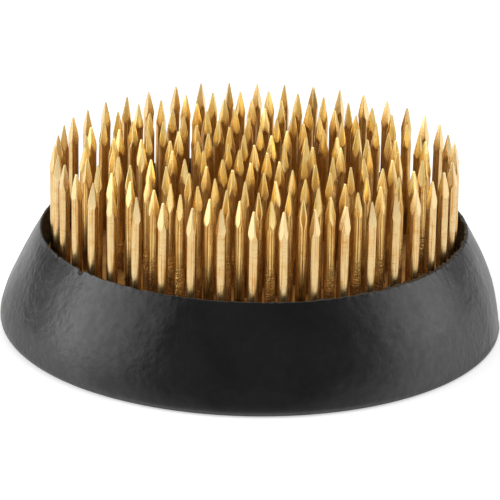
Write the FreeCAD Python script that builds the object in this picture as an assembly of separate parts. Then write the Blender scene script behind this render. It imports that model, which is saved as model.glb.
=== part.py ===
"""Round flower frog (kenzan): a cast weight faced with brass sheet and set with brass pins,
standing in a stretch-on rubber ring.

Millimetres, +Z up, origin at the centre of the face that rests on the table.
Writes one STEP file per node to parts/.
"""

import math
import os

import FreeCAD
import Part

# Driving dimensions
OVERALL_HEIGHT = 26.7
PIN_PITCH = 4.0  # radial step from one circle of pins to the next
PIN_CIRCLES = 7  # circle n holds 6 n pins, round one pin at the centre
SECTORS = 6  # each circle is split into this many equal arcs of pins
PIN_DIAMETER = 1.45
PIN_POINT_LENGTH = 3.8  # four flats ground or pinched on the wire
PIN_POINT_FLAT = 0.2  # width left blunt at the very tip
PIN_DEPTH = 5.0  # length set into the weight

WEIGHT_RADIUS = 29.95
WEIGHT_THICKNESS = 7.6
WEIGHT_EDGE_CHAMFER = 0.5
SHEET_THICKNESS = 0.4
SHEET_EDGE_MARGIN = 0.6  # bare rim of the weight outside the sheet

RING_BORE_RADIUS = 30.0
RING_HEIGHT = 14.6
RING_LEDGE_THICKNESS = 2.0  # the weight rests on this inward ledge
RING_LEDGE_RADIUS = 26.5
RING_WIDEST_RADIUS = 35.45
RING_FOOT_ROUND = 1.0
RING_LIP_WIDTH = 0.3
RING_LIP_HEIGHT = 0.15  # the crest of the lip is an arc this high
RING_LIP_SLOPE = math.radians(30)  # lean of the flank from upright where it meets the lip
# how far the flank's curve holds its direction at each end, as the handles of a Bezier curve
RING_FLANK_FOOT_HANDLE = 4.5
RING_FLANK_LIP_HANDLE = 3.0

# Derived levels
WEIGHT_BOTTOM = RING_LEDGE_THICKNESS
WEIGHT_TOP = WEIGHT_BOTTOM + WEIGHT_THICKNESS
SHEET_TOP = WEIGHT_TOP + SHEET_THICKNESS
PIN_FOOT = WEIGHT_TOP - PIN_DEPTH
PIN_LENGTH = OVERALL_HEIGHT - PIN_FOOT

UP = FreeCAD.Vector(0, 0, 1)
AXIS_POINT = FreeCAD.Vector(0, 0, 0)


def at(radius, height):
    """A point of a turned outline, in the XZ plane."""
    return FreeCAD.Vector(radius, 0, height)


def line(start, end):
    return Part.LineSegment(start, end).toShape()


def turned(edges):
    """The solid swept by a closed outline turned once round the Z axis."""
    face = Part.Face(Part.Wire(edges))
    return face.revolve(AXIS_POINT, UP, 360)


def pin_places(circle):
    """(x, y, angle) of every pin of one circle, anticlockwise from +X."""
    count = 6 * circle
    places = []
    for i in range(count):
        angle = 2 * math.pi * i / count
        radius = circle * PIN_PITCH
        places.append((radius * math.cos(angle), radius * math.sin(angle), math.degrees(angle)))
    return places


def all_pin_places():
    places = [(0.0, 0.0, 0.0)]
    for circle in range(1, PIN_CIRCLES + 1):
        places += pin_places(circle)
    return places


def square_wire(half_width, height):
    corners = [(1, 1), (-1, 1), (-1, -1), (1, -1), (1, 1)]
    return Part.makePolygon(
        [FreeCAD.Vector(half_width * x, half_width * y, height) for x, y in corners]
    )


def pointed_pin():
    """One pin on the Z axis: round wire with a four-sided point."""
    radius = PIN_DIAMETER / 2
    wire = Part.makeCylinder(radius, PIN_LENGTH, FreeCAD.Vector(0, 0, PIN_FOOT), UP)
    tip = PIN_POINT_FLAT / 2
    flare = (radius - tip) / PIN_POINT_LENGTH
    spike = Part.makeLoft(
        [square_wire(tip + flare * PIN_LENGTH, PIN_FOOT), square_wire(tip, OVERALL_HEIGHT)],
        True,
        True,
    )
    return wire.common(spike).Solids[0]


def pin_group(pin, places):
    """Separate copies of a pin at each place, with one flat facing outwards."""
    copies = []
    for x, y, degrees in places:
        copy = pin.copy()
        copy.rotate(AXIS_POINT, UP, degrees)
        copy.translate(FreeCAD.Vector(x, y, 0))
        copies.append(copy)
    return Part.makeCompound(copies)


def pin_holes(bottom, top):
    """Cutters for the pins' holes between two levels."""
    radius = PIN_DIAMETER / 2
    return [
        Part.makeCylinder(radius, top - bottom, FreeCAD.Vector(x, y, bottom), UP)
        for x, y, _ in all_pin_places()
    ]


def base_weight():
    """The cast disc, with a blind hole for every pin."""
    c = WEIGHT_EDGE_CHAMFER
    r = WEIGHT_RADIUS
    points = [
        at(0, WEIGHT_BOTTOM),
        at(r - c, WEIGHT_BOTTOM),
        at(r, WEIGHT_BOTTOM + c),
        at(r, WEIGHT_TOP - c),
        at(r - c, WEIGHT_TOP),
        at(0, WEIGHT_TOP),
        at(0, WEIGHT_BOTTOM),
    ]
    disc = turned([line(a, b) for a, b in zip(points, points[1:])])
    return disc.cut(pin_holes(PIN_FOOT, WEIGHT_TOP + SHEET_THICKNESS))


def face_sheet():
    """The thin brass disc on top of the weight, pierced by every pin."""
    radius = WEIGHT_RADIUS - SHEET_EDGE_MARGIN
    disc = Part.makeCylinder(radius, SHEET_THICKNESS, FreeCAD.Vector(0, 0, WEIGHT_TOP), UP)
    return disc.cut(pin_holes(WEIGHT_TOP - SHEET_THICKNESS, SHEET_TOP + SHEET_THICKNESS))


def rubber_ring():
    """The moulded ring: flat foot, bulging flank, thin lip, and a ledge under the weight."""
    bore = RING_BORE_RADIUS
    foot = RING_FOOT_ROUND
    lip_base = RING_HEIGHT - RING_LIP_HEIGHT
    ledge_foot = at(RING_LEDGE_RADIUS, 0)
    ledge_edge = at(RING_LEDGE_RADIUS, RING_LEDGE_THICKNESS)
    bore_foot = at(bore, RING_LEDGE_THICKNESS)
    bore_top = at(bore, lip_base)
    lip_crest = at(bore + RING_LIP_WIDTH / 2, RING_HEIGHT)
    lip_outer = at(bore + RING_LIP_WIDTH, lip_base)
    flank_foot = at(RING_WIDEST_RADIUS, foot)
    foot_corner = at(RING_WIDEST_RADIUS - foot, 0)
    foot_middle = at(
        RING_WIDEST_RADIUS - foot + foot * math.sin(math.radians(45)),
        foot - foot * math.cos(math.radians(45)),
    )
    lip_handle = at(
        lip_outer.x + RING_FLANK_LIP_HANDLE * math.sin(RING_LIP_SLOPE),
        lip_outer.z - RING_FLANK_LIP_HANDLE * math.cos(RING_LIP_SLOPE),
    )
    foot_handle = at(RING_WIDEST_RADIUS, foot + RING_FLANK_FOOT_HANDLE)
    flank = Part.BezierCurve()
    flank.setPoles([flank_foot, foot_handle, lip_handle, lip_outer])
    return turned(
        [
            line(ledge_foot, ledge_edge),
            line(ledge_edge, bore_foot),
            line(bore_foot, bore_top),
            Part.Arc(bore_top, lip_crest, lip_outer).toShape(),
            flank.toShape(),
            Part.Arc(flank_foot, foot_middle, foot_corner).toShape(),
            line(foot_corner, ledge_foot),
        ]
    )


def write(name, shape):
    shape.exportStep(f"parts/{name}.step")
    volume_cm3 = shape.Volume / 1000
    print(f"{name}: {len(shape.Solids)} solids, {volume_cm3:.3f} cm3, valid {shape.isValid()}")


def main():
    os.makedirs("parts", exist_ok=True)
    write("rubber_ring", rubber_ring())
    write("base_weight", base_weight())
    write("face_sheet", face_sheet())
    pin = pointed_pin()
    write("pin_centre", pin_group(pin, [(0.0, 0.0, 0.0)]))
    for circle in range(1, PIN_CIRCLES + 1):
        places = pin_places(circle)
        for sector in range(SECTORS):
            group = places[sector * circle : (sector + 1) * circle]
            write(f"pins_circle_{circle}_sector_{sector + 1}", pin_group(pin, group))


main()
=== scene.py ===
"""Looks of the flower frog: pointed brass pins, moulded rubber ring, cast weight and brass sheet,
with a white floor, studio lights and the camera. The places and main sizes of the object come
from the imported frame."""

import math

import bpy
import numpy as np
from mathutils import Matrix, Vector, noise


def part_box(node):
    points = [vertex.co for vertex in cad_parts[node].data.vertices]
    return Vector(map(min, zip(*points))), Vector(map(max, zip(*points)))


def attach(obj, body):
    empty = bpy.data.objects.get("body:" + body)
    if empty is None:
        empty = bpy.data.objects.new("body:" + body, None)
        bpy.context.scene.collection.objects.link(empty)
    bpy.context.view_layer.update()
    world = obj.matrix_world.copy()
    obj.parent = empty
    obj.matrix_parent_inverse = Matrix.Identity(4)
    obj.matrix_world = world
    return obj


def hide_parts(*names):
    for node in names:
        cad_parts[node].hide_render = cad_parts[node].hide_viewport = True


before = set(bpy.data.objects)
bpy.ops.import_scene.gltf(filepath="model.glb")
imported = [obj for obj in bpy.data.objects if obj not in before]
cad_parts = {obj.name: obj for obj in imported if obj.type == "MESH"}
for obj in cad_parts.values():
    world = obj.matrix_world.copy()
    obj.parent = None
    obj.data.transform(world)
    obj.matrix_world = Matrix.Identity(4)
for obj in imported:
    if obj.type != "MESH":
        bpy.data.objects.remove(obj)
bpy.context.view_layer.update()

MM = 0.001
SEED = 7

# Places read from the frame, in metres
PIN_LOW, PIN_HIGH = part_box("pin_centre")
PIN_RADIUS = (PIN_HIGH.x - PIN_LOW.x) / 2
PIN_FOOT = PIN_LOW.z
PIN_TOP = PIN_HIGH.z
CIRCLES = max(int(n.split("_")[2]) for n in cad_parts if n.startswith("pins_circle_"))
SECTORS = max(int(n.split("_")[4]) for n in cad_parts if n.startswith("pins_circle_"))
PITCH = (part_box(f"pins_circle_{CIRCLES}_sector_1")[1].x - PIN_RADIUS) / CIRCLES
SHEET_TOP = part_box("face_sheet")[1].z
RING_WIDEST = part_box("rubber_ring")[1].x
RING_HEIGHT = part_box("rubber_ring")[1].z
WEIGHT_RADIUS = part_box("base_weight")[1].x
LEDGE_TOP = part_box("base_weight")[0].z

# Shape of one pin. A range is the least and the most, and a spread is a standard deviation.
WIRE_RANGE = (0.985, 1.01)  # next to the radius in the CAD
SWELL_RANGE = (0.03, 0.15)  # how much thicker the wire is where the flats end
SWELL_PLACE = 0.82  # below the tip, in lengths of the point
SWELL_REACH = 0.5 * MM
COLLAR_RANGE = (0.15, 0.3)  # how much wider the collar on the sheet is at its foot
COLLAR_HEIGHT = 0.3 * MM
COLLAR_DEPTH = 0.2 * MM  # how far it goes down into the sheet
CUT_FOOT = 0.8  # the radius at the wire's cut lower end, next to its own
CUT_FOOT_HEIGHT = 0.12 * MM
HEIGHT_SPREAD = 0.09 * MM
LEAN_SPREAD = math.radians(0.32)

# Shape of its point
POINT_LENGTH = 3.8 * MM
LENGTH_SPREAD = 0.07  # of its flats, next to POINT_LENGTH
TIP_HALF_WIDTH = 0.09 * MM
TIP_RANGE = (0.75, 1.35)  # next to TIP_HALF_WIDTH
TIP_LEAST = 0.05 * MM
TIP_ROUND = 0.5  # how much narrower the very end is
TIP_ROUND_LENGTH = 0.1 * MM
TIP_DOME = 0.03 * MM  # how far its middle stands above the last ring of points
APEX_SPREAD = 0.06 * MM  # how far the apex is off centre
FLAT_BULGE = 0.15
FLAT_SHARPNESS = 40  # how crisply the flats cut the round wire
RIDGE_SHARPNESS = 12  # how crisply the flats meet each other
CLEAN_CUT = 0.05  # how much deeper a cut, next to the radius, turns dull brass wholly clean
CLEAN_START = 0.3  # how deep the cut is when that begins, next to CLEAN_CUT

# Its mesh: columns close together beside a ridge, and rings in millimetres below the tip
QUARTER = (-45, -40.5, -33, -22, -11, 0, 11, 22, 33, 40.5)  # degrees
PIN_ANGLES = np.radians([side + turn for side in (0, 90, 180, 270) for turn in QUARTER])
PIN_COLUMNS = len(PIN_ANGLES)
TIP_RINGS = (0, 0.03, 0.06, 0.1)
POINT_RINGS = np.concatenate([np.linspace(0.25, 1.8, 6), np.linspace(2.0, 4.4, 17)])
SHAFT_RINGS = (4.8, 5.6, 7.5, 10, 12.5, 15, 16.2, 16.4, 16.5, 16.6, 16.68, 16.8, 17.4)

# Shape of the ring, as in the CAD, with its inner edges rounded
RING_BORE = WEIGHT_RADIUS + 0.05 * MM
LEDGE_RADIUS = RING_BORE - 3.5 * MM
FOOT_ROUND = 1.0 * MM
LIP_WIDTH = 0.3 * MM
LIP_SLOPE = math.radians(30)
FOOT_HANDLE = 4.5 * MM
LIP_HANDLE = 3.0 * MM
EDGE_ROUND = 0.25 * MM

# Its mesh: columns round it, and steps along each stretch of its outline
RING_COLUMNS = 960
FOOT_STEPS = 5
FOOT_START = 1 * MM  # how far the foot's own points stay from its inner and outer edges
FOOT_END = 1.3 * MM
ARC_STEPS = 8
CORNER_STEPS = 4
FLANK_STEPS = 48
BORE_STEPS = 13
LEDGE_STEPS = 3
LEDGE_END = 0.8 * MM  # and the ledge's from its own edges

# How the ring differs from its turned shape
LEFT_BULGE = 0.45 * MM  # the lower flank swells on the camera's left
RIGHT_DENT = 0.45 * MM  # and is drawn in on the right
BULGE_HEIGHT = 2 * MM  # where both are at their most
BULGE_REACH = 4.5 * MM  # above and below that
FLANK_START = 0.1 * MM  # outside the bore, where the flank begins to be uneven
FLANK_FULL = 1.5 * MM  # and how much further out it is fully so
FLANK_LOW = 1.2 * MM  # below this it is less so, down to none at the foot
RING_LUMPS = ((0.10 * MM, 90), (0.04 * MM, 330), (0.02 * MM, 750))  # height, lumps per metre
RIM_WAVE = 0.12 * MM
RIM_WAVE_CIRCLE = (2.5, 3.1)  # radius and height of the circle in the noise that gives the waves
LIP_DEPTH = 0.4 * MM  # how far down from its crest the lip is worn
LIP_WEAR = 0.13 * MM
LIP_WEAR_GRAIN = 1500  # lumps per metre
LIP_NICKS = ((51, 0.45), (63, 0.3))  # degrees to the left of the camera's side, depth in mm
NICK_REACH = 0.4 * MM  # to each side of its middle
FLASH_WIDTH = 0.45 * MM  # the lip's inner edge is ragged on the camera's right
FLASH_PLACE = 62  # degrees to the right of the camera's side, where it is widest
FLASH_GRAIN = 1200  # lumps per metre
FLASH_TOP_GRAIN = 2000

# Camera
CAMERA_AZIMUTH = math.radians(4.45)
CAMERA_ELEVATION = math.radians(18.63)
CAMERA_DISTANCE = 0.4894
CAMERA_ROLL = math.radians(0.96)
CAMERA_LENS = 251.3  # in millimetres, as the sensor's width
CAMERA_SENSOR = 36
CAMERA_CLIP = 0.01
AIM_RIGHT = -0.5 * MM
AIM_HEIGHT = 10.83 * MM

# Surround, by the angle from straight behind the object, and lamps and floor, in metres and watts
SURROUND = ((180, 0.68), (80, 0.58), (65, 0.2), (40, 0.25), (15, 0.95))  # degrees, brightness
BOX_DISTANCE = 0.60
BOX_HEIGHT = 0.27
BOX_TALL = 0.5
LEFT_PLACE = -76  # degrees round from the camera's side
LEFT_WIDE = 0.64
LEFT_WATTS = 2.05
RIGHT_PLACE = 91
RIGHT_WIDE = 0.60
RIGHT_WATTS = 1.05
OVERHEAD_HEIGHT = 0.9
OVERHEAD_WIDE = 1.2
OVERHEAD_WATTS = 2.0
FLOOR_HALF = 4.0
FLOOR_GLOW = 0.5

# Colours, each pair to mix from pin to pin or by a pattern
OUTER_SHAFT = ((0.73, 0.545, 0.27, 1), (0.68, 0.495, 0.235, 1))
OUTER_FLAT = ((0.83, 0.635, 0.325, 1), (0.80, 0.58, 0.28, 1))
INNER_SHAFT = ((0.81, 0.54, 0.19, 1), (0.76, 0.495, 0.165, 1))
INNER_FLAT = ((0.97, 0.765, 0.345, 1), (0.94, 0.69, 0.275, 1))
# tarnish colour, also used as painted shade low on the pins
TARNISH_AND_SHADE = (0.60, 0.27, 0.05, 1)
# painted shade: the dark brown of the lowest part of each pin, where shade falls between the pins
PAINTED_SHADE = (0.16, 0.09, 0.045, 1)
SHEET_BRASS = (0.80, 0.54, 0.22, 1)
SHEET_STAIN = (0.42, 0.21, 0.07, 1)
LEAD = ((0.20, 0.21, 0.23, 1), (0.36, 0.37, 0.38, 1))
RUBBER = ((0.004, 0.004, 0.0045, 1), (0.008, 0.008, 0.008, 1))
# brown dust inside the lip; its brown is partly a painted reflection of the brass pins
DUST_AND_REFLECTION = ((0.018, 0.013, 0.007, 1), (0.10, 0.075, 0.04, 1))
FLOOR = ((0.78, 0.78, 0.78, 1), (0.80, 0.80, 0.80, 1))
WHITE = (1, 1, 1, 1)


# ---------------------------------------------------------------- meshes


def mesh_object(name, points, faces):
    mesh = bpy.data.meshes.new(name)
    mesh.from_pydata([tuple(p) for p in points], [], faces)
    mesh.update()
    mesh.shade_smooth()
    obj = bpy.data.objects.new(name, mesh)
    bpy.context.scene.collection.objects.link(obj)
    return obj


def add_values(piece, name, values):
    """A number for each point of a mesh, for its material to read."""
    attribute = piece.data.attributes.new(name, "FLOAT", "POINT")
    attribute.data.foreach_set("value", np.array(values, np.float32))


def clamped(value):
    """A number held between 0 and 1."""
    return min(max(value, 0), 1)


# ---------------------------------------------------------------- the pins


def pin_ring_depths():
    """How far below the tip each ring of a pin's points is, from the foot up."""
    full = PIN_TOP - PIN_FOOT
    below_top = np.concatenate([TIP_RINGS, POINT_RINGS, SHAFT_RINGS]) * MM
    return np.append(below_top, [full - CUT_FOOT_HEIGHT, full])[::-1]


def wire_radius(wire, below_top, rng):
    """The wire's radius at each ring. It is swollen where the flats end, a small collar of
    pressed brass stands round it on the sheet, and its cut foot is slightly rounded."""
    from_swell = (below_top - SWELL_PLACE * POINT_LENGTH) / SWELL_REACH
    swell = rng.uniform(*SWELL_RANGE) * np.exp(-(from_swell**2))
    above_sheet = PIN_TOP - below_top - SHEET_TOP
    collar = rng.uniform(*COLLAR_RANGE) * np.clip(1 - above_sheet / COLLAR_HEIGHT, 0, 1) ** 2
    radius = wire * (1 + swell + collar * (above_sheet > -COLLAR_DEPTH))
    radius[0] *= CUT_FOOT
    return radius


def flat_distance(wire, below_top, facing, apex, rng):
    """How far one flat stands from the axis at each ring: from the blunt tip out to the wire,
    bulging slightly on the way, and past the wire further down."""
    along = below_top / (POINT_LENGTH * rng.normal(1.0, LENGTH_SPREAD))
    tip = TIP_HALF_WIDTH * rng.uniform(*TIP_RANGE) + apex @ [math.cos(facing), math.sin(facing)]
    tip = max(tip, TIP_LEAST)
    distance = tip + (wire - tip) * (along + FLAT_BULGE * along * (1 - along))
    rounding = 1 - TIP_ROUND * np.clip(1 - below_top / TIP_ROUND_LENGTH, 0, 1) ** 2
    distance = np.maximum(distance, tip) * rounding
    distance[along > 1] = (wire * along)[along > 1]
    return distance


def pin_points(rng):
    """Points of one upright pin about its own axis, ring by ring from foot to tip, and how far
    each lies on a flat. Four slightly bulging flats of unequal length cut the round wire down
    to a small blunt tip, and meet in narrow rounded ridges."""
    below_top = pin_ring_depths()
    wire = PIN_RADIUS * rng.uniform(*WIRE_RANGE)
    radius = wire_radius(wire, below_top, rng)[:, None]
    apex = rng.normal(0, APEX_SPREAD, 2)
    flats = np.zeros((len(below_top), PIN_COLUMNS))
    for i in range(4):
        facing = i * math.pi / 2
        distance = flat_distance(wire, below_top, facing, apex, rng)
        towards = np.clip(np.cos(PIN_ANGLES - facing), 0, None)
        flats += (towards[None, :] / distance[:, None]) ** RIDGE_SHARPNESS
    flats = flats ** (FLAT_SHARPNESS / RIDGE_SHARPNESS)
    reach = ((1 / radius) ** FLAT_SHARPNESS + flats) ** (-1 / FLAT_SHARPNESS)
    x = reach * np.cos(PIN_ANGLES)
    y = reach * np.sin(PIN_ANGLES)
    z = (PIN_TOP - below_top)[:, None] * np.ones(PIN_COLUMNS)
    on_flat = np.clip((radius - reach) / radius / CLEAN_CUT - CLEAN_START, 0, 1)
    return np.stack([x, y, z], -1), on_flat


def pin_faces(rings, start):
    """Quads of the rings, with a fan at the foot and a small dome at the tip."""
    n = PIN_COLUMNS
    foot = start + rings * n
    tip = foot + 1
    last = start + (rings - 1) * n
    faces = []
    for r in range(rings - 1):
        lower = start + r * n
        upper = lower + n
        for c in range(n):
            d = (c + 1) % n
            faces.append((lower + c, lower + d, upper + d, upper + c))
    for c in range(n):
        d = (c + 1) % n
        faces.append((start + d, start + c, foot))
        faces.append((last + c, last + d, tip))
    return faces


def pin_places(circle, sector):
    """(x, y) of the pins of one sector of one circle, anticlockwise from +X."""
    if circle == 0:
        return [(0.0, 0.0)]
    count = SECTORS * circle
    angles = [2 * math.pi * i / count for i in range((sector - 1) * circle, sector * circle)]
    return [(circle * PITCH * math.cos(a), circle * PITCH * math.sin(a)) for a in angles]


def stand_pin(pin, place, rng):
    """A pin's points moved to its place, with its own height, turn and lean on the sheet."""
    pin[:, 2] += (pin[:, 2] > SHEET_TOP) * rng.normal(0, HEIGHT_SPREAD)
    turn = Matrix.Rotation(rng.uniform(0, math.pi / 2), 3, "Z")
    lean_x = Matrix.Rotation(rng.normal(0, LEAN_SPREAD), 3, "X")
    lean_y = Matrix.Rotation(rng.normal(0, LEAN_SPREAD), 3, "Y")
    pivot = np.array([0, 0, SHEET_TOP])
    return (pin - pivot) @ np.array(lean_x @ lean_y @ turn).T + pivot + [*place, 0]


def pin_group(node, places, rng):
    """One piece: the pins of one CAD node. Its points carry three numbers for the material:
    whether the pin is inside the outermost circle, its tone, and how far they lie on a flat."""
    points, faces, tones, flats = [], [], [], []
    ends = [[0, 0, PIN_FOOT], [0, 0, PIN_TOP + TIP_DOME]]
    for place in places:
        pin, on_flat = pin_points(rng)
        faces += pin_faces(len(pin), len(points))
        pin = stand_pin(np.vstack([pin.reshape(-1, 3), ends]), place, rng)
        points += pin.tolist()
        tones += [rng.uniform()] * len(pin)
        flats += [*on_flat.ravel(), 0.0, 1.0]
    piece = mesh_object(f"forged_{node}", points, faces)
    outermost = f"circle_{CIRCLES}_" in node
    add_values(piece, "inner", [float(not outermost)] * len(points))
    add_values(piece, "tone", tones)
    add_values(piece, "flat", flats)
    return piece


# ---------------------------------------------------------------- the ring


def rounded(corner, before, after, radius):
    """Points that round one corner of an outline."""
    corner, before, after = (np.array(p, float) for p in (corner, before, after))
    a = corner + (before - corner) / np.linalg.norm(before - corner) * radius
    b = corner + (after - corner) / np.linalg.norm(after - corner) * radius
    t = np.linspace(0, 1, CORNER_STEPS + 1)[:, None]
    return ((1 - t) ** 2 * a + 2 * (1 - t) * t * corner + t**2 * b).tolist()


def flank_points():
    """The flank from the foot's rounding up to the lip, as one Bezier curve."""
    start = np.array([RING_WIDEST, FOOT_ROUND])
    end = np.array([RING_BORE + LIP_WIDTH, RING_HEIGHT - LIP_WIDTH / 2])
    start_handle = start + [0, FOOT_HANDLE]
    end_handle = end + LIP_HANDLE * np.array([math.sin(LIP_SLOPE), -math.cos(LIP_SLOPE)])
    points = []
    for t in np.linspace(0, 1, FLANK_STEPS + 1)[1:]:
        p = (1 - t) ** 3 * start + 3 * (1 - t) ** 2 * t * start_handle
        p = p + 3 * (1 - t) * t**2 * end_handle + t**3 * end
        points.append(tuple(p))
    return points


def ring_outline():
    """The ring's outline as (radius, height), anticlockwise from the inner edge of the foot."""
    ledge_foot = (LEDGE_RADIUS, 0)
    ledge_edge = (LEDGE_RADIUS, LEDGE_TOP)
    bore_foot = (RING_BORE, LEDGE_TOP)
    lip = LIP_WIDTH / 2
    foot = np.linspace(LEDGE_RADIUS + FOOT_START, RING_WIDEST - FOOT_END, FOOT_STEPS + 1)
    bore = np.linspace(RING_HEIGHT - lip, LEDGE_TOP, BORE_STEPS + 1)[1:-1]
    ledge = np.linspace(RING_BORE - LEDGE_END, LEDGE_RADIUS + LEDGE_END, LEDGE_STEPS + 1)
    points = rounded(ledge_foot, ledge_edge, (RING_WIDEST, 0), EDGE_ROUND)
    points += [(r, 0.0) for r in foot]
    for a in np.linspace(0, math.pi / 2, ARC_STEPS + 1):
        foot_x = RING_WIDEST - FOOT_ROUND + FOOT_ROUND * math.sin(a)
        points.append((foot_x, FOOT_ROUND - FOOT_ROUND * math.cos(a)))
    points += flank_points()
    for a in np.linspace(0, math.pi, ARC_STEPS + 1)[1:]:
        points.append((RING_BORE + lip + lip * math.cos(a), RING_HEIGHT - lip + lip * math.sin(a)))
    points += [(RING_BORE, z) for z in bore]
    points += rounded(bore_foot, (RING_BORE, RING_HEIGHT), ledge_edge, EDGE_ROUND)
    points += [(r, LEDGE_TOP) for r in ledge]
    points += rounded(ledge_edge, bore_foot, ledge_foot, EDGE_ROUND)
    return np.array([(float(r), float(z)) for r, z in points])


def flank_offset(radius, height, angle, place):
    """How far the flank stands out from its turned shape: swollen, drawn in and lumpy."""
    left = math.cos(angle - CAMERA_AZIMUTH - math.pi)
    outer = clamped((radius - RING_BORE - FLANK_START) / FLANK_FULL) * min(height / FLANK_LOW, 1)
    low = math.exp(-(((height - BULGE_HEIGHT) / BULGE_REACH) ** 2))
    outward = outer * low * (LEFT_BULGE * max(left, 0) ** 2 - RIGHT_DENT * max(-left, 0) ** 2)
    for size, grain in RING_LUMPS:
        outward += outer * size * noise.noise(place * grain)
    return outward


def lip_offsets(radius, height, angle, place):
    """How the lip differs from its turned shape, outward and upward: slow waves, wear along the
    crest, a ragged inner edge on the right, and two nicks on the left."""
    front = CAMERA_AZIMUTH - math.pi / 2
    crest = math.exp(-(((RING_HEIGHT - height) / LIP_DEPTH) ** 2))
    rim = clamped(2 * height / RING_HEIGHT - 1)
    wave_radius, wave_height = RIM_WAVE_CIRCLE
    wave_place = (math.cos(angle) * wave_radius, math.sin(angle) * wave_radius, wave_height)
    upward = rim * RIM_WAVE * noise.noise(Vector(wave_place))
    upward += crest * LIP_WEAR * noise.noise(place * LIP_WEAR_GRAIN)
    inner = clamped((RING_BORE + LIP_WIDTH - radius) / LIP_WIDTH)
    ragged = max(math.cos(angle - front - math.radians(FLASH_PLACE)), 0) ** 3
    flash = crest * inner * ragged * FLASH_WIDTH
    outward = -flash * (1 + noise.noise(place * FLASH_GRAIN))
    upward += flash * noise.noise(place * FLASH_TOP_GRAIN)
    for degrees, depth in LIP_NICKS:
        nick_angle = front - math.radians(degrees)
        across = RING_BORE * math.sin(angle - nick_angle) / NICK_REACH
        if math.cos(angle - nick_angle) > 0:
            upward -= crest * depth * MM * math.exp(-(across**2))
    return outward, upward


def ring_point(radius, height, angle):
    """A point of the ring where the uneven moulding puts it."""
    c, s = math.cos(angle), math.sin(angle)
    place = Vector((radius * c, radius * s, height))
    outward, upward = lip_offsets(radius, height, angle, place)
    outward += flank_offset(radius, height, angle, place)
    r = radius + outward
    return r * c, r * s, height + upward


def rubber_ring():
    """The ring turned from its outline, a little uneven, as soft moulded rubber is. Its points
    carry whether they are on the wall inside the lip."""
    outline = ring_outline()
    count = len(outline)
    lip_middle = RING_BORE + LIP_WIDTH / 2
    inside = [float(z > LEDGE_TOP and r < lip_middle) for r, z in outline]
    points = []
    faces = []
    for column in range(RING_COLUMNS):
        angle = 2 * math.pi * column / RING_COLUMNS
        points += [ring_point(radius, height, angle) for radius, height in outline]
        a = column * count
        b = ((column + 1) % RING_COLUMNS) * count
        for i in range(count):
            j = (i + 1) % count
            faces.append((a + i, b + i, b + j, a + j))
    ring = mesh_object("moulded_ring", points, faces)
    add_values(ring, "inside", inside * RING_COLUMNS)
    return ring


# ---------------------------------------------------------------- materials


class Nodes:
    """A material's node tree, with short calls for the nodes used here."""

    def __init__(self, name):
        self.material = bpy.data.materials.new(name)
        self.material.use_nodes = True
        self.tree = self.material.node_tree
        self.shader = self.tree.nodes["Principled BSDF"]
        self.place = self.tree.nodes.new("ShaderNodeTexCoord").outputs["Object"]

    def link(self, value, socket):
        if hasattr(value, "links"):
            self.tree.links.new(value, socket)
        else:
            socket.default_value = value

    def noise(self, per_metre, detail, stretch=(1, 1, 1)):
        mapping = self.tree.nodes.new("ShaderNodeMapping")
        mapping.inputs["Scale"].default_value = stretch
        self.link(self.place, mapping.inputs["Vector"])
        node = self.tree.nodes.new("ShaderNodeTexNoise")
        self.link(mapping.outputs[0], node.inputs["Vector"])
        self.link(per_metre, node.inputs["Scale"])
        self.link(detail, node.inputs["Detail"])
        return node.outputs["Fac"]

    def math(self, operation, a, b, clamp=False):
        node = self.tree.nodes.new("ShaderNodeMath")
        node.operation = operation
        node.use_clamp = clamp
        self.link(a, node.inputs[0])
        self.link(b, node.inputs[1])
        return node.outputs[0]

    def add(self, a, b):
        return self.math("ADD", a, b)

    def times(self, a, b, clamp=False):
        return self.math("MULTIPLY", a, b, clamp)

    def remap(self, value, low, high, to_low=0.0, to_high=1.0):
        node = self.tree.nodes.new("ShaderNodeMapRange")
        for socket, v in zip(node.inputs[:5], (value, low, high, to_low, to_high)):
            self.link(v, socket)
        return node.outputs[0]

    def mix(self, factor, a, b):
        """A colour from a to b. The node keeps its colours in inputs 6 and 7 and in output 2."""
        node = self.tree.nodes.new("ShaderNodeMix")
        node.data_type = "RGBA"
        self.link(factor, node.inputs[0])
        self.link(a, node.inputs[6])
        self.link(b, node.inputs[7])
        return node.outputs[2]

    def height(self):
        split = self.tree.nodes.new("ShaderNodeSeparateXYZ")
        self.link(self.place, split.inputs[0])
        return split.outputs["Z"]

    def fade_above_sheet(self, start, end):
        """1 up to one height above the brass sheet, and 0 from another on."""
        return self.remap(self.height(), SHEET_TOP + start, SHEET_TOP + end, 1.0, 0.0)

    def upright(self):
        node = self.tree.nodes.new("ShaderNodeCombineXYZ")
        node.inputs["Z"].default_value = 1.0
        return node.outputs[0]

    def slant(self):
        """0 where a surface is seen square on, 1 where it is seen edge on."""
        return self.tree.nodes.new("ShaderNodeLayerWeight").outputs["Facing"]

    def attribute(self, name):
        node = self.tree.nodes.new("ShaderNodeAttribute")
        node.attribute_name = name
        return node.outputs["Fac"]

    def bump(self, height, distance, normal=None):
        node = self.tree.nodes.new("ShaderNodeBump")
        node.inputs["Distance"].default_value = distance
        self.link(height, node.inputs["Height"])
        if normal is not None:
            self.link(normal, node.inputs["Normal"])
        return node.outputs[0]

    def finish(self, **inputs):
        for name, value in inputs.items():
            self.link(value, self.shader.inputs[name.replace("_", " ")])
        return self.material


# Patterns of the brass wire: lumps per metre, detail, stretch along x, y and z
LINES = (5200, 1.5, (1, 1, 0.02))
STREAKS = (14000, 2.0, (1, 1, 0.03))
BLOTCHES = (1100, 3.0, (1, 1, 0.6))
SCUFFS = (1500, 3.0, (0.5, 0.5, 3))
CRUST = (2200, 2.0, (1, 1, 2))

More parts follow.
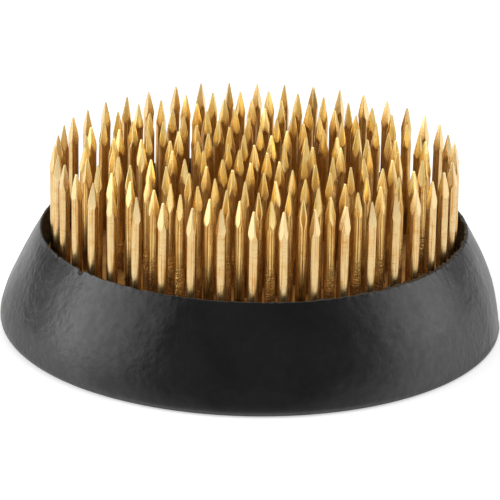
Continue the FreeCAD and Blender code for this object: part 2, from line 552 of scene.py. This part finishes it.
# What they give: from one value of the pattern to another, so much at the first and at the second
LINE_TARNISH = (0.53, 0.64, 0.0, 0.6)
BLOTCH_TARNISH = (0.45, 0.75, 0.0, 0.35)
SCUFF_TARNISH = (0.56, 0.7, 0.0, 0.35)
LOW_PAINTED_SHADE = 0.3  # painted shade at the sheet, fading out over LOW_REACH above it
LOW_REACH = 5 * MM
FLAT_TARNISH = 0.12  # the share of it that stays on the clean flats
# Painted shade on the lowest part of each pin: how high it reaches, its uneven edge and its fade
PAINTED_SHADE_REACH = 9 * MM
PAINTED_SHADE_BLOTCHES = (0.3, 0.7, -0.12, 0.12)
PAINTED_SHADE_FADE = (0.5, 0.72, 0.0, 0.8)
STREAK_ROUGH = (0.3, 0.7, 0.19, 0.33)
FLAT_ROUGH = 0.2
TARNISH_ROUGH = 0.1
PIN_STRETCH = 0.7  # how much further the brass spreads light up and down than sideways
LINE_DEPTH = 0.008 * MM
BLOTCH_DEPTH = 0.012 * MM
CRUST_REACH = (4 * MM, 7.5 * MM)  # above the sheet, where the crust begins to fade and ends
CRUST_TONES = (0.4, 0.6)  # none on pins under the first tone, and all of it over the second
CRUST_DEPTH = 0.3 * MM


def pin_tarnish_and_shade(n, lines, blotches, shaft):
    """Tarnish in drawn lines, blotches and scuffs, and painted shade darkening the pins towards the
    sheet, with little on the flats.
    """
    low = n.fade_above_sheet(0, LOW_REACH)
    tarnish_and_shade = n.add(n.remap(blotches, *BLOTCH_TARNISH), n.remap(lines, *LINE_TARNISH))
    # painted shade: darker towards the sheet
    tarnish_and_shade = n.add(tarnish_and_shade, n.times(low, LOW_PAINTED_SHADE))
    tarnish_and_shade = n.add(tarnish_and_shade, n.remap(n.noise(*SCUFFS), *SCUFF_TARNISH))
    return n.times(tarnish_and_shade, n.add(FLAT_TARNISH, shaft), clamp=True)


def pin_painted_shade(n, blotches):
    """Painted shade: dark brown on the lowest part of a pin, where shade falls between the pins, with
    an uneven upper edge.
    """
    shade_mask = n.fade_above_sheet(0, PAINTED_SHADE_REACH)
    shade_mask = n.add(shade_mask, n.remap(blotches, *PAINTED_SHADE_BLOTCHES))
    return n.remap(shade_mask, *PAINTED_SHADE_FADE)


def pin_crust(n, inner, tone):
    """A rough crust above the foot of some inner pins."""
    crusted = n.fade_above_sheet(*CRUST_REACH)
    crusted = n.times(crusted, n.times(inner, n.remap(tone, *CRUST_TONES)))
    return n.times(n.noise(*CRUST), crusted)


def pin_brass():
    """Drawn brass wire, dulled along the shaft and clean on the flats of the point, paler on the
    outermost pins, with tarnish, painted shade darkening it towards the sheet and at the foot, and a
    crust on some inner pins."""
    n = Nodes("pin_brass")
    flat = n.attribute("flat")
    tone = n.attribute("tone")
    inner = n.attribute("inner")
    shaft = n.math("SUBTRACT", 1.0, flat)
    lines = n.noise(*LINES)
    blotches = n.noise(*BLOTCHES)
    dull = n.mix(inner, n.mix(tone, *OUTER_SHAFT), n.mix(tone, *INNER_SHAFT))
    clean = n.mix(inner, n.mix(tone, *OUTER_FLAT), n.mix(tone, *INNER_FLAT))
    tarnish_and_shade = pin_tarnish_and_shade(n, lines, blotches, shaft)
    # tarnish, with painted shade towards the sheet
    colour = n.mix(tarnish_and_shade, n.mix(flat, dull, clean), TARNISH_AND_SHADE)
    # painted shade at the foot of each pin
    colour = n.mix(pin_painted_shade(n, blotches), colour, PAINTED_SHADE)
    shaft_rough = n.remap(n.noise(*STREAKS), *STREAK_ROUGH)
    rough = n.remap(flat, 0, 1, shaft_rough, FLAT_ROUGH)
    rough = n.add(rough, n.times(tarnish_and_shade, TARNISH_ROUGH))
    normal = n.bump(n.times(lines, shaft), LINE_DEPTH)
    normal = n.bump(blotches, BLOTCH_DEPTH, normal)
    normal = n.bump(pin_crust(n, inner, tone), CRUST_DEPTH, normal)
    n.link(n.upright(), n.shader.inputs["Tangent"])
    return n.finish(
        Base_Color=colour,
        Metallic=1.0,
        Roughness=rough,
        Normal=normal,
        Anisotropic=PIN_STRETCH,
        Anisotropic_Rotation=0.0,
    )


# The brass sheet, in the same form
SHEET_BLOTCHES = (260, 4.0)
SHEET_GRAIN = (3000, 2.0)
SHEET_STAINED = (0.35, 0.7, 0.1, 0.9)
SHEET_ROUGH = (0.3, 0.7, 0.35, 0.6)
SHEET_DEPTH = 0.02 * MM


def sheet_brass():
    """Rolled brass gone dull and brown between the pins."""
    n = Nodes("sheet_brass")
    grain = n.noise(*SHEET_GRAIN)
    stain = n.remap(n.noise(*SHEET_BLOTCHES), *SHEET_STAINED)
    colour = n.mix(stain, SHEET_BRASS, SHEET_STAIN)
    rough = n.remap(grain, *SHEET_ROUGH)
    normal = n.bump(grain, SHEET_DEPTH)
    return n.finish(Base_Color=colour, Metallic=1.0, Roughness=rough, Normal=normal)


# The cast weight
LEAD_CLOUDS = (140, 5.0)
LEAD_PITS = (1600, 3.0)
LEAD_OXIDE = (0.35, 0.65)
LEAD_ROUGH = (0.3, 0.7, 0.42, 0.62)
LEAD_DEPTH = 0.05 * MM
LEAD_METAL = 0.85


def weight_lead():
    """Cast lead alloy: dull blue grey with pale oxide clouds and a pitted skin."""
    n = Nodes("weight_lead")
    pits = n.noise(*LEAD_PITS)
    oxide = n.remap(n.noise(*LEAD_CLOUDS), *LEAD_OXIDE)
    colour = n.mix(oxide, *LEAD)
    rough = n.remap(pits, *LEAD_ROUGH)
    normal = n.bump(pits, LEAD_DEPTH)
    return n.finish(Base_Color=colour, Metallic=LEAD_METAL, Roughness=rough, Normal=normal)


# The rubber
PATCHES = (120, 3.0)
RIPPLES = (420, 2.0)
LUMPS = (1100, 2.0)
GRAIN = (4200, 2.0)
DUST_SPECKS = (2200, 3.0)
PATCH_SHADES = (0.35, 0.65)
DUST_SHADES = (0.4, 0.6)
PATCH_ROUGH = (0.3, 0.7, 0.29, 0.38)
GRAIN_ROUGH = (0.3, 0.7, -0.03, 0.03)
DUST_ROUGH = 0.2
SLANT_SHINE = (0.05, 0.3, 0.12, 0.8)  # shinier the more it is seen at a slant
EDGE_SHINE = (0.4, 0.65, 0.8, 0.3)  # and less so again towards its very edge
LUMP_SHINE = (0.3, 0.7, 0.9, 1.1)
FOOT_SHINE = (0, 8 * MM, 0.8, 1.0)  # by height
RIPPLE_DEPTH = 0.07 * MM
LUMP_DEPTH = 0.07 * MM
GRAIN_DEPTH = 0.01 * MM
DUST_DEPTH = 0.08 * MM


def ring_rubber():
    """Black moulded rubber with a waxy skin: ripples, small lumps and a fine grain, shinier
    where it is seen at a slant and duller near the foot. The wall around the pins is rough with
    brown dust, its brown partly a painted reflection of the brass pins."""
    n = Nodes("ring_rubber")
    patches = n.noise(*PATCHES)
    lumps = n.noise(*LUMPS)
    grain = n.noise(*GRAIN)
    dust = n.noise(*DUST_SPECKS)
    inside = n.attribute("inside")
    clean = n.mix(n.remap(patches, *PATCH_SHADES), *RUBBER)
    # brown dust on the wall inside the lip, partly a painted reflection of the brass pins
    dust_and_reflection = n.mix(n.remap(dust, *DUST_SHADES), *DUST_AND_REFLECTION)
    colour = n.mix(inside, clean, dust_and_reflection)
    rough = n.add(n.remap(patches, *PATCH_ROUGH), n.remap(grain, *GRAIN_ROUGH))
    rough = n.add(rough, n.times(inside, DUST_ROUGH))
    slant = n.slant()
    shine = n.math("MINIMUM", n.remap(slant, *SLANT_SHINE), n.remap(slant, *EDGE_SHINE))
    shine = n.times(shine, n.remap(lumps, *LUMP_SHINE))
    shine = n.times(shine, n.remap(n.height(), *FOOT_SHINE))
    normal = n.bump(n.noise(*RIPPLES), RIPPLE_DEPTH)
    normal = n.bump(lumps, LUMP_DEPTH, normal)
    normal = n.bump(grain, GRAIN_DEPTH, normal)
    normal = n.bump(n.times(dust, inside), DUST_DEPTH, normal)
    return n.finish(Base_Color=colour, Roughness=rough, Specular_IOR_Level=shine, Normal=normal)


# The floor
FLOOR_TINT = (6, 2.0)
FLOOR_ROUGH = 0.8


def floor_white():
    """A white floor that glows a little, so that shadows on it are faint."""
    n = Nodes("floor_white")
    colour = n.mix(n.noise(*FLOOR_TINT), *FLOOR)
    return n.finish(
        Base_Color=colour,
        Roughness=FLOOR_ROUGH,
        Emission_Color=WHITE,
        Emission_Strength=FLOOR_GLOW,
    )


# ---------------------------------------------------------------- the object


def dress(piece, material):
    piece.data.materials.clear()
    piece.data.materials.append(material)


def build_pins():
    rng = np.random.default_rng(SEED)
    brass = pin_brass()
    groups = [("pin_centre", pin_places(0, 1))]
    for circle in range(1, CIRCLES + 1):
        for sector in range(1, SECTORS + 1):
            groups.append((f"pins_circle_{circle}_sector_{sector}", pin_places(circle, sector)))
    for node, places in groups:
        piece = pin_group(node, places, rng)
        dress(piece, brass)
        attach(piece, "holder")
        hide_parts(node)


def build_ring():
    ring = rubber_ring()
    dress(ring, ring_rubber())
    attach(ring, "ring")
    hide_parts("rubber_ring")


def dress_cad_nodes():
    dress(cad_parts["base_weight"], weight_lead())
    dress(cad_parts["face_sheet"], sheet_brass())


# ---------------------------------------------------------------- the studio


def area_light(name, place, width, height, watts):
    """A lamp of the given size that faces the top of the ring."""
    light = bpy.data.lights.new(name, "AREA")
    light.shape = "RECTANGLE"
    light.size = width
    light.size_y = height
    light.energy = watts
    obj = bpy.data.objects.new(name, light)
    obj.location = place
    obj.rotation_mode = "QUATERNION"
    obj.rotation_quaternion = (Vector((0, 0, RING_HEIGHT)) - place).to_track_quat("-Z", "Y")
    bpy.context.scene.collection.objects.link(obj)


def box_place(degrees):
    """A box light's place, at an angle from the camera's side, positive to the right."""
    a = CAMERA_AZIMUTH + math.radians(degrees)
    return Vector((BOX_DISTANCE * math.sin(a), -BOX_DISTANCE * math.cos(a), BOX_HEIGHT))


def build_floor():
    half = FLOOR_HALF
    corners = [(-half, -half, 0), (half, -half, 0), (half, half, 0), (-half, half, 0)]
    floor = mesh_object("floor", corners, [(0, 1, 2, 3)])
    floor.data.materials.append(floor_white())


def studio_world():
    """A plain grey surround whose brightness changes with the angle from straight behind."""
    world = bpy.data.worlds.new("studio")
    world.use_nodes = True
    tree = world.node_tree
    direction = tree.nodes.new("ShaderNodeTexCoord").outputs["Generated"]
    along = tree.nodes.new("ShaderNodeVectorMath")
    along.operation = "DOT_PRODUCT"
    tree.links.new(direction, along.inputs[0])
    along.inputs[1].default_value = (-math.sin(CAMERA_AZIMUTH), math.cos(CAMERA_AZIMUTH), 0)
    place = tree.nodes.new("ShaderNodeMapRange")
    tree.links.new(along.outputs["Value"], place.inputs["Value"])
    place.inputs["From Min"].default_value = -1
    ramp = tree.nodes.new("ShaderNodeValToRGB")
    tree.links.new(place.outputs[0], ramp.inputs[0])
    stops = ramp.color_ramp.elements
    while len(stops) < len(SURROUND):
        stops.new(0.5)  # the loop below moves it
    for stop, (angle, light) in zip(stops, SURROUND):
        stop.position = (math.cos(math.radians(angle)) + 1) / 2
        stop.color = (light, light, light, 1)
    tree.links.new(ramp.outputs[0], tree.nodes["Background"].inputs["Color"])
    return world


def build_studio():
    overhead = Vector((0, 0, OVERHEAD_HEIGHT))
    area_light("box_left", box_place(LEFT_PLACE), LEFT_WIDE, BOX_TALL, LEFT_WATTS)
    area_light("box_right", box_place(RIGHT_PLACE), RIGHT_WIDE, BOX_TALL, RIGHT_WATTS)
    area_light("overhead", overhead, OVERHEAD_WIDE, OVERHEAD_WIDE, OVERHEAD_WATTS)
    build_floor()
    bpy.context.scene.world = studio_world()
    bpy.context.scene.view_settings.view_transform = "Standard"


def build_camera():
    """The camera, its distance measured from the pins' tips on the axis."""
    right = Vector((math.cos(CAMERA_AZIMUTH), math.sin(CAMERA_AZIMUTH), 0))
    away = Vector((math.sin(CAMERA_AZIMUTH), -math.cos(CAMERA_AZIMUTH), 0))
    place = Vector((0, 0, PIN_TOP)) + CAMERA_DISTANCE * (
        math.cos(CAMERA_ELEVATION) * away + math.sin(CAMERA_ELEVATION) * Vector((0, 0, 1))
    )
    aim = AIM_RIGHT * right + Vector((0, 0, AIM_HEIGHT))
    data = bpy.data.cameras.new("camera")
    data.lens = CAMERA_LENS
    data.sensor_width = CAMERA_SENSOR
    data.clip_start = CAMERA_CLIP
    camera = bpy.data.objects.new("camera", data)
    look = (aim - place).to_track_quat("-Z", "Y").to_matrix().to_4x4()
    camera.matrix_world = Matrix.Translation(place) @ look @ Matrix.Rotation(CAMERA_ROLL, 4, "Z")
    bpy.context.scene.collection.objects.link(camera)
    bpy.context.scene.camera = camera


build_pins()
build_ring()
dress_cad_nodes()
build_studio()
build_camera()
